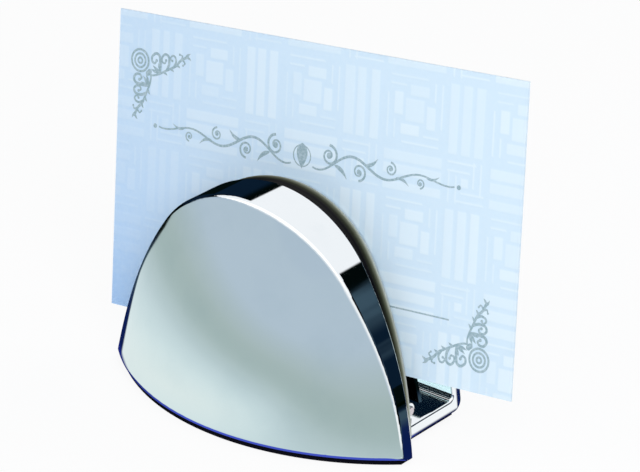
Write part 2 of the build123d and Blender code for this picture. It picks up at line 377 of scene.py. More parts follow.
@dataclass(frozen=True, kw_only=True)
class CoverFinish(GrainFinish):
    """Black moulded plastic with a fine grain and a painted highlight on the edge by the jaw, pale there and
    olive further forward.
    """

    rearward: Place
    jaw: float
    name: str = "cover_plastic"
    colour: Colour = (0.004, 0.005, 0.005)
    # Painted highlight: pale, dim, olive and dark olive steps stand in for light on the cover's rounded edge
    # by the jaw
    worn_and_highlight: Colour = (0.52, 0.56, 0.53)
    dim_highlight: Colour = (0.44, 0.47, 0.42)
    olive: Colour = (0.17, 0.18, 0.135)
    dark_olive: Colour = (0.045, 0.05, 0.032)
    highlight_reach: float = 3.4 * MM
    ragged: float = 0.25 * MM
    roughness: float = 0.42
    roughness_spread: float = 0.15
    specular: float = 0.08
    grain_scale: float = 3500.0
    grain_depth: float = 0.02 * MM

    def base_colour(self, wiring: Wiring, tone: Socket) -> Socket:
        """Paint the highlight by the way to the jaw: pale at its edge, olive further forward, then the
        plastic's black, with ragged borders.

        Args:
            wiring: Wiring of the material.
            tone: Tone of the grain, which makes the borders ragged.

        Returns:
            The colour.
        """
        place = wiring.add("ShaderNodeTexCoord").outputs["Object"]
        dot = wiring.add("ShaderNodeVectorMath", {0: place, 1: self.rearward}, operation="DOT_PRODUCT")
        before = wiring.math("SUBTRACT", self.jaw, dot.outputs["Value"])
        before = wiring.math("MULTIPLY_ADD", tone, self.ragged, before)
        # Painted highlight: pale next to the jaw, olive further forward, fading into the plastic's black
        steps = {
            0.05: self.colour,
            0.1: self.worn_and_highlight,
            0.26: self.dim_highlight,
            0.4: self.olive,
            0.56: self.dark_olive,
            0.8: self.colour,
        }
        return wiring.colour_steps(wiring.math("DIVIDE", before, self.highlight_reach), steps)


@dataclass(frozen=True)
class CardFinish(Finish):
    """Pale blue embossed card: satin bars painted lighter than a duller ground as a painted sheen, a painted
    shade of deeper blue towards the lower left, and a paper grain.
    """

    name: str = "card_stock"
    # Painted sheen: bars lighter than the ground, standing in for light catching the embossing
    bar: Colour = (0.73, 0.865, 0.95)
    ground: Colour = (0.63, 0.795, 0.925)
    # Painted shade: deeper blue towards the lower left, standing in for the light's falloff and the shell's
    # shadow
    painted_shade: Colour = (0.33, 0.55, 0.88)
    fibre: Colour = (0.80, 0.88, 0.95)
    fibre_share: float = 0.25
    roughness: float = 0.5
    bar_sheen: float = -0.12
    specular: float = 0.3
    grain_scale: float = 6000.0
    tone_scale: float = 1400.0
    grain_strength: float = 0.25
    grain_depth: float = 0.01 * MM
    emboss_attribute: str = "emboss"
    painted_shade_attribute: str = "painted_shade"

    def wire(self, wiring: Wiring, shader: bpy.types.Node) -> None:
        """Lay the painted shade and the paper's fibres over bars and ground.

        Args:
            wiring: Wiring of the material.
            shader: Its principled shader.
        """
        sizes = {"Grain Scale": self.grain_scale, "Tone Scale": self.tone_scale}
        grain = wiring.add("ShaderNodeGroup", sizes, node_tree=fine_grain())
        emboss = wiring.add("ShaderNodeAttribute", attribute_name=self.emboss_attribute).outputs["Fac"]
        painted_shade_mask = wiring.add("ShaderNodeAttribute", attribute_name=self.painted_shade_attribute).outputs["Fac"]
        # Painted sheen: bars lighter than the ground
        colour = wiring.blend(emboss, self.ground, self.bar)
        # Painted shade: deeper blue towards the lower left
        colour = wiring.blend(painted_shade_mask, colour, self.painted_shade)
        fibres = wiring.math("MULTIPLY", grain.outputs["Tone"], self.fibre_share)
        wiring.feed(shader.inputs["Base Color"], wiring.blend(fibres, colour, self.fibre))
        vary_roughness(wiring, shader, emboss, self.bar_sheen, self.roughness)
        shader.inputs["Specular IOR Level"].default_value = self.specular
        add_bump(wiring, shader, grain.outputs["Height"], self.grain_strength, self.grain_depth)


@dataclass(frozen=True)
class InkFinish(Finish):
    """Blue-grey printing ink that is thin in places and lets a little of the paper through."""

    name: str = "card_ink"
    colour: Colour = (0.27, 0.40, 0.46)
    thin: Colour = (0.42, 0.55, 0.62)
    thin_span: Span = (0.35, 0.7)
    tone_scale: float = 2500.0
    roughness: float = 0.5

    def wire(self, wiring: Wiring, shader: bpy.types.Node) -> None:
        """Thin the ink in places.

        Args:
            wiring: Wiring of the material.
            shader: Its principled shader.
        """
        grain = wiring.add("ShaderNodeGroup", {"Tone Scale": self.tone_scale}, node_tree=fine_grain())
        tone = wiring.run(grain.outputs["Tone"], self.thin_span)
        wiring.feed(shader.inputs["Base Color"], wiring.blend(tone, self.colour, self.thin))
        shader.inputs["Roughness"].default_value = self.roughness


CHROME: Colour = (0.70, 0.80, 0.81)
CHROME_DULL: Colour = (0.665, 0.77, 0.785)
STEEL: Colour = (0.52, 0.53, 0.55)
STEEL_DULL: Colour = (0.34, 0.34, 0.36)
SPRING_GREY: Colour = (0.42, 0.43, 0.46)

SHELL_CHROME = MetalFinish("shell_chrome", CHROME, CHROME_DULL, roughness=0.03, haze=0.03, hairline=0.01)
FOOT_CHROME = MetalFinish("foot_chrome", CHROME, CHROME_DULL, roughness=0.045, haze=0.04, hairline=0.02)
CLAMP_CHROME = MetalFinish("clamp_chrome", CHROME, CHROME_DULL, roughness=0.06, haze=0.05, hairline=0.04)
SCREW_STEEL = MetalFinish(
    "screw_steel",
    STEEL,
    STEEL_DULL,
    roughness=0.25,
    haze=0.15,
    hairline=0.15,
    smudge_scale=500.0,
    hairline_scale=5000.0,
)
PIN_STEEL = replace(SCREW_STEEL, name="pin_steel", roughness=0.2, hairline=0.1)
SPRING_STEEL = MetalFinish(
    "spring_steel",
    SPRING_GREY,
    STEEL_DULL,
    roughness=0.22,
    haze=0.15,
    hairline=0.1,
    smudge_scale=600.0,
    hairline_scale=4000.0,
)
PAD_RUBBER = GrainFinish(
    name="pad_rubber",
    colour=(0.002, 0.002, 0.005),
    worn_and_highlight=(0.005, 0.005, 0.009),
    roughness=0.7,
    roughness_spread=0.2,
    specular=0.05,
    grain_scale=2200.0,
    grain_depth=0.04 * MM,
)


def dress(node: bpy.types.Object, finish: Finish) -> None:
    """Give a frame node its finish.

    Args:
        node: The node.
        finish: Its finish.
    """
    node.data.materials.clear()
    node.data.materials.append(finish.material())
    LOG.info("%s: finish %s", node.name, finish.name)


def facing(direction: Vector, axis: Vector) -> Vector:
    """A direction, turned round where it points away from an axis."""
    return direction if direction.dot(axis) > 0 else -direction


def main_directions(node: bpy.types.Object) -> list[Vector]:
    """Find the directions that a node's flat faces look in.

    Args:
        node: A node of the frame.

    Returns:
        The directions, the largest area first, opposite ones as one.
    """
    areas: dict[tuple, float] = {}
    for face in node.data.polygons:
        normal = face.normal if max(face.normal, key=abs) > 0 else -face.normal
        key = tuple(round(part, 3) for part in normal)
        areas[key] = areas.get(key, 0.0) + face.area
    return [Vector(key).normalized() for key in sorted(areas, key=areas.get, reverse=True)]


def wire_mesh(
    line: list[Vector], radius: float, sides: int, broken_share: float = 0.25
) -> tuple[list[Vector], list[tuple[int, ...]]]:
    """A round wire with slightly broken ends along a line.

    Args:
        line: Middle of the wire.
        radius: Its radius.
        sides: Faces round it.
        broken_share: Share of the radius that is broken off the edge of each end.

    Returns:
        Its points and its faces.
    """
    headings = [(after - before).normalized() for before, after in zip(line, line[1:])]
    tangents = [headings[0]] + [(a + b).normalized() for a, b in zip(headings, headings[1:])] + [headings[-1]]
    side = tangents[0].orthogonal().normalized()
    broken = broken_share * radius
    rings = []
    for number, (middle, tangent) in enumerate(zip(line, tangents)):
        side = (side - tangent * side.dot(tangent)).normalized()
        if number == 0:
            rings.append((middle, side, tangent, radius - broken))
            rings.append((middle + tangent * broken, side, tangent, radius))
        elif number == len(line) - 1:
            rings.append((middle - tangent * broken, side, tangent, radius))
            rings.append((middle, side, tangent, radius - broken))
        else:
            rings.append((middle, side, tangent, radius))
    vertices = []
    for middle, along, tangent, reach in rings:
        up = tangent.cross(along)
        for step in range(sides):
            angle = math.tau * step / sides
            vertices.append(middle + (along * math.cos(angle) + up * math.sin(angle)) * reach)
    faces = []
    for ring in range(len(rings) - 1):
        for step in range(sides):
            here = ring * sides + step
            there = ring * sides + (step + 1) % sides
            faces.append((here, there, there + sides, here + sides))
    faces.append(tuple(range(sides - 1, -1, -1)))
    faces.append(tuple(range(len(vertices) - sides, len(vertices))))
    return vertices, faces


def add_object(name: str, data: bpy.types.ID) -> bpy.types.Object:
    """Put a mesh, a lamp or a camera into the scene.

    Args:
        name: Name of the object.
        data: Its mesh, lamp or camera.

    Returns:
        The new object.
    """
    item = bpy.data.objects.new(name, data)
    bpy.context.scene.collection.objects.link(item)
    return item


def add_mesh(
    name: str, vertices: list, faces: list, finish: Finish, sharp_angle: float = 45.0
) -> bpy.types.Object:
    """Make a smooth piece from points and faces.

    Args:
        name: Name of the piece.
        vertices: Points in the frame.
        faces: Corner numbers of each face.
        finish: Finish of the piece.
        sharp_angle: Angle in degrees from which an edge stays sharp.

    Returns:
        The new piece.
    """
    mesh = bpy.data.meshes.new(name)
    mesh.from_pydata(vertices, [], faces)
    mesh.shade_smooth()
    mesh.set_sharp_from_angle(angle=math.radians(sharp_angle))
    mesh.materials.append(finish.material())
    piece = add_object(name, mesh)
    LOG.info("%s: %d faces", name, len(faces))
    return piece


@dataclass
class ShellAssembly:
    """The chrome shell with its cover and the screws that hold the cover."""

    nodes: dict[str, bpy.types.Object]

    def build(self) -> None:
        """Dress the nodes of the shell."""
        dress(self.nodes["front_shell"], SHELL_CHROME)
        dress(self.nodes["back_cover"], self.cover_finish())
        dress(self.nodes["cover_screws"], SCREW_STEEL)

    def cover_finish(self) -> CoverFinish:
        """Read the place of the jaw face from the cover's solid.

        Returns:
            Finish of the cover.
        """
        cover = self.nodes["back_cover"]
        rearward = facing(main_directions(cover)[0], REAR)
        jaw = max(vertex.co.dot(rearward) for vertex in cover.data.vertices)
        return CoverFinish(rearward=tuple(rearward), jaw=jaw)


@dataclass
class FootAssembly:
    """The chrome foot, its screws and the pad under it."""

    nodes: dict[str, bpy.types.Object]

    def build(self) -> None:
        """Dress the nodes of the foot."""
        dress(self.nodes["base_foot"], FOOT_CHROME)
        dress(self.nodes["base_screws"], SCREW_STEEL)
        dress(self.nodes["base_pad"], PAD_RUBBER)


@dataclass
class ClampAssembly:
    """The clamp plate, its hinge pin and the torsion spring, which winds as the clamp opens."""

    nodes: dict[str, bpy.types.Object]
    pivot: Vector
    wire_radius: float = 0.35 * MM
    coil_radius: float = 1.9 * MM
    coil_turns: float = 8.5
    coil_pitch: float = 1.2 * MM
    floor_leg: float = 6.5 * MM
    plate_leg: float = 8.0 * MM
    leg_behind_pivot: float = 1.88 * MM
    leg_bend: float = 1.0 * MM
    steps_in_turn: int = 36
    steps_in_bend: int = 8
    wire_sides: int = 14

    def build(self) -> None:
        """Dress the clamp and model its spring."""
        dress(self.nodes["clamp_plate"], CLAMP_CHROME)
        dress(self.nodes["hinge_pin"], PIN_STEEL)
        self.add_spring()

    def coil_point(self, turn: float) -> Vector:
        """Follow the coil, from its foot forward, up and over.

        Args:
            turn: Turns from the start of the coil.

        Returns:
            Middle of the wire there.
        """
        angle = -math.pi / 2 - math.tau * turn
        x = self.coil_pitch * (turn - self.coil_turns / 2)
        y = self.coil_radius * math.cos(angle)
        z = self.coil_radius * math.sin(angle)
        return self.pivot + Vector((x, y, z))

    def coil_heading(self, turn: float) -> Vector:
        """Tell which way the coil runs.

        Args:
            turn: Turns from the start of the coil.

        Returns:
            Direction of the wire there.
        """
        angle = -math.pi / 2 - math.tau * turn
        around = math.tau * self.coil_radius
        return Vector((self.coil_pitch, around * math.sin(angle), -around * math.cos(angle))).normalized()

    def rounded_corner(self, corner: Vector, before: Vector, after: Vector) -> list[Vector]:
        """Points round the bend between coil and plate leg.

        Args:
            corner: Where the two straight runs would meet.
            before: Direction of the wire up to the corner.
            after: Direction of the wire past it.

        Returns:
            Points of the arc, in order.
        """
        turn = before.angle(after)
        reach = self.leg_bend * math.tan(turn / 2)
        centre = corner - before * reach + (after - before * before.dot(after)).normalized() * self.leg_bend
        first = corner - before * reach - centre
        axis = before.cross(after)
        shares = [step / self.steps_in_bend for step in range(self.steps_in_bend + 1)]
        return [centre + Matrix.Rotation(turn * share, 3, axis) @ first for share in shares]

    def wire_line(self) -> list[Vector]:
        """Follow the wire from its tip on the foot to its tip behind the plate.

        Returns:
            Points of its middle, in order.
        """
        back = facing(main_directions(self.nodes["clamp_plate"])[0], REAR)
        up = RIGHT.cross(back)
        count = round(self.coil_turns * self.steps_in_turn)
        coil = [self.coil_point(self.coil_turns * step / count) for step in range(count + 1)]
        heading = self.coil_heading(self.coil_turns)
        run = (self.leg_behind_pivot - (coil[-1] - self.pivot).dot(back)) / heading.dot(back)
        corner = coil[-1] + heading * run
        floor_tip = coil[0] - self.coil_heading(0.0) * self.floor_leg
        return [floor_tip, *coil, *self.rounded_corner(corner, heading, up), corner + up * self.plate_leg]

    def add_spring(self) -> None:
        """Model the spring's wire between the stand and the clamp, and hide the frame's spring."""
        vertices, faces = wire_mesh(self.wire_line(), self.wire_radius, self.wire_sides)
        spring = add_mesh("torsion_spring_wire", vertices, faces, SPRING_STEEL)
        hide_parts("torsion_spring")
        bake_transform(spring)


@dataclass
class Print:
    """Printed lines, drawn flat in millimetres as crowned ribbons of ink, three points to a row."""

    crown: float
    steps_between_knots: int = 8
    steps_in_ring: int = 48
    steps_in_volute: int = 29
    steps_in_leaf: int = 13
    volute_shrink: float = 0.78
    volute_thinning: float = 0.45
    volute_eye: float = 0.3
    leaf_fullness: float = 0.7
    least_width: float = 0.02
    vertices: list[Place] = field(default_factory=list)
    faces: list[tuple[int, ...]] = field(default_factory=list)

    def line(self, points: Sequence[Point], widths: Sequence[float]) -> None:
        """Draw a ribbon.

        Args:
            points: Its middle line.
            widths: Its width at each point.
        """
        middle = np.array(points)
        heading = np.gradient(middle, axis=0)
        heading /= np.linalg.norm(heading, axis=1, keepdims=True)
        side = np.stack([-heading[:, 1], heading[:, 0]], axis=1) * np.array(widths)[:, None] / 2
        first = len(self.vertices)
        for left, mid, right in zip(middle + side, middle, middle - side):
            self.vertices += [(*left, 0.0), (*mid, self.crown), (*right, 0.0)]
        for row in range(first, len(self.vertices) - 3, 3):
            self.faces += [(row, row + 1, row + 4, row + 3), (row + 1, row + 2, row + 5, row + 4)]

    def stroke(self, knots: Sequence[Point], widths: Sequence[float]) -> None:
        """Draw a smooth ribbon through knots.

        Args:
            knots: Places that it passes, in order.
            widths: Its width at each knot.
        """
        known = np.array(knots)
        padded = np.concatenate([2 * known[:1] - known[1:2], known, 2 * known[-1:] - known[-2:-1]])
        shares = np.linspace(0.0, 1.0, self.steps_between_knots + 1)[:, None]
        runs = []
        for before, here, there, after in zip(padded, padded[1:], padded[2:], padded[3:]):
            bend = (2 * before - 5 * here + 4 * there - after) * shares**2
            turn = (3 * here - before - 3 * there + after) * shares**3
            runs.append((2 * here + (there - before) * shares + bend + turn)[:-1] / 2)
        points = np.concatenate(runs + [known[-1:]])
        places = np.linspace(0.0, len(knots) - 1.0, len(points))
        self.line(points, np.interp(places, np.arange(len(knots)), widths))

    def ring(self, centre: Point, radius: float, width: float) -> None:
        """Draw a closed ring.

        Args:
            centre: Its middle.
            radius: Radius of the line's middle.
            width: Width of the line.
        """
        angles = np.linspace(0.0, math.tau, self.steps_in_ring + 1)
        points = [(centre[0] + radius * math.cos(a), centre[1] + radius * math.sin(a)) for a in angles]
        self.line(points, [width] * len(points))

    def dot(self, centre: Point, radius: float) -> None:
        """Draw a round dot."""
        self.ring(centre, radius / 2, radius)

    def volute(self, eye: Point, radius: float, start: float, turns: float, width: float) -> None:
        """Draw a spiral that winds into an eye.

        Args:
            eye: Middle of the spiral.
            radius: Its outer radius.
            start: Angle of its outer end in degrees.
            turns: Turns to the eye, negative for clockwise.
            width: Width of the line at its outer end.
        """
        shares = np.linspace(0.0, 1.0, self.steps_in_volute + 1)
        angles = math.radians(start) + math.tau * turns * shares
        reach = radius * (1.0 - self.volute_shrink * shares)
        points = [(eye[0] + r * math.cos(a), eye[1] + r * math.sin(a)) for r, a in zip(reach, angles)]
        self.line(points, width * (1.0 - self.volute_thinning * shares))
        self.dot(eye, self.volute_eye * radius)

    def leaf(self, root: Point, tip: Point, curl: float, width: float) -> None:
        """Draw a pointed leaf.

        Args:
            root: Its lower end.
            tip: Its point.
            curl: How far its middle bends aside.
            width: Its greatest width.
        """
        shares = np.linspace(0.0, 1.0, self.steps_in_leaf + 1)
        span = np.array(tip) - np.array(root)
        aside = np.array([-span[1], span[0]]) / np.linalg.norm(span)
        bend = np.sin(math.pi * shares)
        points = np.array(root) + span * shares[:, None] + aside * (curl * bend)[:, None]
        self.line(points, width * np.sin(math.pi * shares**self.leaf_fullness) + self.least_width)


@dataclass(frozen=True)
class Weave:
    """Woven pattern of the embossing: knots, with strands beside and below each and a crossing between.

    In millimetres. Bars are boxes across and down from the middle of their knot or crossing, hairlines have
    a span across and a place down, and both are drawn on one side and turned about the other three.
    """

    pitch: Point = (22.2, 21.6)
    place: Point = (44.7, 8.5)
    knot_half: float = 6.9
    knot_square: float = 1.95
    knot_bar: Band = ((-0.95, 2.75), (-4.35, -2.55))
    knot_hairlines: tuple[tuple[Span, float], ...] = (((-5.3, 2.5), -5.7), ((-5.3, -1.9), -4.2))
    crossing_square: float = 0.75
    crossing_hairlines: tuple[tuple[Span, float], ...] = (((-3.9, 0.9), -1.8), ((-3.9, 2.1), -3.3))
    hairline_half: float = 0.15
    strand_count: int = 3
    strand_half: float = 0.9
    strand_pitch: float = 2.7
    strand_reach: float = 6.0
    tone_steps: Place = (12.9898, 4.7, 8.3)
    rounding: float = 1e-6

    def in_box(self, a: np.ndarray, b: np.ndarray, span_a: Span, span_b: Span) -> np.ndarray:
        """Tell which places lie in a box."""
        return (a > span_a[0]) & (a < span_a[1]) & (b > span_b[0]) & (b < span_b[1])

    def thin_bars(self, hairlines: Sequence[tuple[Span, float]]) -> list[Band]:
        """Boxes of hairlines."""
        half = self.hairline_half
        return [(span, (middle - half, middle + half)) for span, middle in hairlines]

    def turning(self, a: np.ndarray, b: np.ndarray, square: float, bars: list[Band]) -> list[np.ndarray]:
        """A square with bars that turn about each of its sides.

        Args:
            a: Places across, from the middle of the square.
            b: Places down, from there.
            square: Half the side of the square.
            bars: Bars of one side.

        Returns:
            For the square and for each bar, the places that lie on it.
        """
        found = [self.in_box(a, b, (-square, square), (-square, square))]
        for _ in range(4):
            found += [self.in_box(a, b, *bar) for bar in bars]
            a, b = b, -a
        return found

    def strands(self, a: np.ndarray, b: np.ndarray) -> list[np.ndarray]:
        """Strands side by side that run past a knot.

        Args:
            a: Places across the strands, from the middle of the knot.
            b: Places along them.

        Returns:
            For each strand, the places that lie on it.
        """
        half = self.strand_half
        first = self.knot_half + half + 2 * self.hairline_half
        middles = [first + self.strand_pitch * number for number in range(self.strand_count)]
        reach = (-self.strand_reach, self.strand_reach)
        return [self.in_box(a, b, (middle - half, middle + half), reach) for middle in middles]

    def pattern(self, u: np.ndarray, v: np.ndarray) -> tuple[np.ndarray, np.ndarray]:
        """Lay the weave over places on the card.

        Args:
            u: Places across.
            v: Places down.

        Returns:
            The height at each place, 0 on the ground and 1 on a bar, and the tone of the bar.
        """
        pitch_u, pitch_v = self.pitch
        shift_u = u - self.place[0] + self.knot_half
        shift_v = v - self.place[1] + self.knot_half
        column = np.floor(shift_u / pitch_u + self.rounding)
        row = np.floor(shift_v / pitch_v + self.rounding)
        a = shift_u - column * pitch_u - self.knot_half
        b = shift_v - row * pitch_v - self.knot_half
        middle_a, middle_b = ((pitch - 2 * self.knot_half) / 2 + self.knot_half for pitch in self.pitch)
        bars = self.turning(a, b, self.knot_square, [self.knot_bar, *self.thin_bars(self.knot_hairlines)])
        bars += self.strands(a, b) + self.strands(b, a)
        crossing_bars = self.thin_bars(self.crossing_hairlines)
        bars += self.turning(a - middle_a, b - middle_b, self.crossing_square, crossing_bars)
        height = np.zeros_like(u)
        tone = np.zeros_like(u)
        by_bar, by_column, by_row = self.tone_steps
        for number, bar in enumerate(bars):
            height[bar] = 1.0
            turn = by_bar * number + by_column * column + by_row * row
            tone[bar] = (0.5 + 0.5 * np.sin(turn))[bar]
        return height, tone


@dataclass(frozen=True)
class CornerScroll:
    """Corner ornament: a roundel of rings with a tapering scroll arm across and one down.

    In millimetres along an arm and to its outer side: strokes with their width and the size of the dot they
    end in, and leaves with root, tip and width. Rings have a radius and a width.
    """

    rings: tuple[Point, ...] = ((2.0, 0.42), (1.25, 0.4), (0.5, 0.38))
    level_swing: float = 0.155
    level_stretch: float = 1.02
    upright_swing: float = 0.05
    upright_stretch: float = 0.93
    stroke_taper: float = 0.6
    leaf_curl: float = 0.12
    strokes: tuple[tuple[tuple[Point, ...], float, float], ...] = (
        (((11.2, 0.5), (10.2, 0.2), (9.2, -0.3), (8.4, -1.1), (7.2, -1.6),
          (5.8, -2.1), (4.4, -2.6), (3.0, -2.8), (1.9, -2.4)), 0.55, 0.5),
        (((4.6, -2.5), (4.7, -1.0), (4.5, 0.6), (3.7, 1.2),
          (2.8, 0.7), (2.8, -0.2), (3.4, -0.6), (3.8, -0.1)), 0.62, 0.3),
        (((6.2, -2.0), (6.7, -0.8), (6.6, 0.5), (5.8, 1.0),
          (5.1, 0.5), (5.1, -0.3), (5.7, -0.6), (6.0, -0.1)), 0.56, 0.28),
        (((7.8, -1.4), (8.3, -0.4), (8.0, 0.5), (7.4, 0.7), (7.0, 0.2), (7.4, -0.2)), 0.48, 0.25),
        (((9.4, -0.2), (9.7, 0.6), (9.1, 0.9)), 0.4, 0.22),
        (((9.7, 0.0), (10.3, -0.7), (9.9, -1.1)), 0.4, 0.2),
    )
    leaves: tuple[tuple[Point, Point, float], ...] = (
        ((4.6, -2.3), (2.5, -1.6), 0.6),
        ((4.6, -2.1), (2.9, -0.9), 0.55),
        ((4.9, -2.0), (4.2, -0.5), 0.5),
        ((5.4, -2.3), (6.4, -2.9), 0.42),
        ((6.9, -1.7), (7.9, -2.3), 0.42),
        ((8.4, -1.1), (9.3, -1.6), 0.4),
        ((10.4, 0.3), (11.6, 1.0), 0.42),
        ((10.8, 0.3), (11.7, -0.3), 0.4),
    )

    def draw(self, ink: Print, roundel: Point, turn: float) -> None:
        """Draw the ornament.

        Args:
            ink: Print to draw in.
            roundel: Middle of the rings.
            turn: 1 for the upper corner, -1 to draw it turned half round.
        """
        for radius, width in self.rings:
            ink.ring(roundel, radius, width)
        level = np.array((turn, 0.0))
        upright = np.array((0.0, turn))
        self.draw_arm(ink, roundel, (level - self.level_swing * upright) * self.level_stretch, -upright)
        self.draw_arm(ink, roundel, (upright - self.upright_swing * level) * self.upright_stretch, -level)

    def draw_arm(self, ink: Print, roundel: Point, along: np.ndarray, outward: np.ndarray) -> None:
        """Draw one arm.

        Args:
            ink: Print to draw in.
            roundel: Middle of the rings it starts from.
            along: Direction of the arm.
            outward: Direction to the nearer edge of the card.
        """

        def spot(s: float, t: float) -> np.ndarray:
            """Place at s along the arm and t to its outer side."""
            return np.array(roundel) + along * s + outward * t

        for knots, width, eye in self.strokes:
            widths = np.linspace(width, self.stroke_taper * width, len(knots))
            ink.stroke([spot(*knot) for knot in knots], widths)
            ink.dot(spot(*knots[-1]), eye)
        hand = along[0] * outward[1] - along[1] * outward[0]
        for root, tip, width in self.leaves:
            ink.leaf(spot(*root), spot(*tip), self.leaf_curl * hand, width)


@dataclass(frozen=True)
class Flourish:
    """Scroll divider, the same on both sides of a lozenge.

    In millimetres. Where scrolls and leaves get smaller outward, a pair holds the first one's size and what
    each next one loses.
    """

    place: Point = (43.0, 20.2)
    reach: float = 33.0
    wave_start: float = 2.4
    wave_points: int = 90
    wave_height: float = 2.0
    wave_rate: float = 0.42
    wave_fade: float = 0.6
    line_width: float = 0.3
    line_swell: float = 0.35
    scroll_places: tuple[float, ...] = (5.6, 12.2, 19.0, 25.4)
    scroll_size: Point = (1.9, 0.34)
    scroll_width: Point = (0.5, 0.06)
    scroll_start: float = 90.0
    scroll_turns: float = 1.4
    eye_place: Point = (0.4, 0.4)
    eye_rise: float = 0.3
    leaf_root: Point = (1.6, 0.5)
    leaf_tip: float = 4.4
    leaf_rise: Point = (2.6, 0.5)
    leaf_width: Point = (0.75, 0.1)
    leaf_curl: float = 0.4
    end_gap: float = 0.9
    end_dot: float = 0.42
    lozenge_half: float = 2.3
    lozenge_width: float = 2.4
    ring_radius: float = 1.9
    ring_width: float = 0.22

    def draw(self, ink: Print) -> None:
        """Draw both sides and the lozenge.

        Args:
            ink: Print to draw in.
        """
        u, v = self.place
        for side in (1.0, -1.0):
            runs = np.linspace(self.wave_start, self.reach, self.wave_points)
            share = runs / self.reach
            wave = self.wave_height * np.sin(runs * self.wave_rate) * (1.0 - share) ** self.wave_fade
            points = [(u + side * run, v + rise) for run, rise in zip(runs, wave)]
            ink.line(points, self.line_width + self.line_swell * np.sin(math.pi * share) ** 2 * (1.0 - share))
            for number in range(len(self.scroll_places)):
                self.draw_scroll(ink, side, number)
            ink.dot((u + side * (self.reach + self.end_gap), v), self.end_dot)
        ink.leaf((u, v - self.lozenge_half), (u, v + self.lozenge_half), 0.0, self.lozenge_width)
        ink.ring((u, v), self.ring_radius, self.ring_width)

    def draw_scroll(self, ink: Print, side: float, number: int) -> None:
        """Draw a scroll with its leaf.

        Args:
            ink: Print to draw in.
            side: 1 to the right of the lozenge, -1 to its left.
            number: Number of the scroll, from the lozenge outward.
        """
        u, v = self.place
        run = self.scroll_places[number]
        sizes = (self.scroll_size, self.scroll_width, self.leaf_rise, self.leaf_width)
        size, width, leaf_rise, leaf_width = (first - loss * number for first, loss in sizes)
        lean = 1.0 if number % 2 else -1.0
        eye_run, eye_lift = self.eye_place
        eye = (u + side * (run + eye_run), v + lean * (eye_lift + self.eye_rise * size))
        ink.volute(eye, size, self.scroll_start * lean, side * lean * -self.scroll_turns, width)
        root_run, root_drop = self.leaf_root
        root = (u + side * (run + root_run), v - lean * root_drop)
        tip = (u + side * (run + self.leaf_tip), v - lean * leaf_rise)
        ink.leaf(root, tip, self.leaf_curl * side * lean, leaf_width)


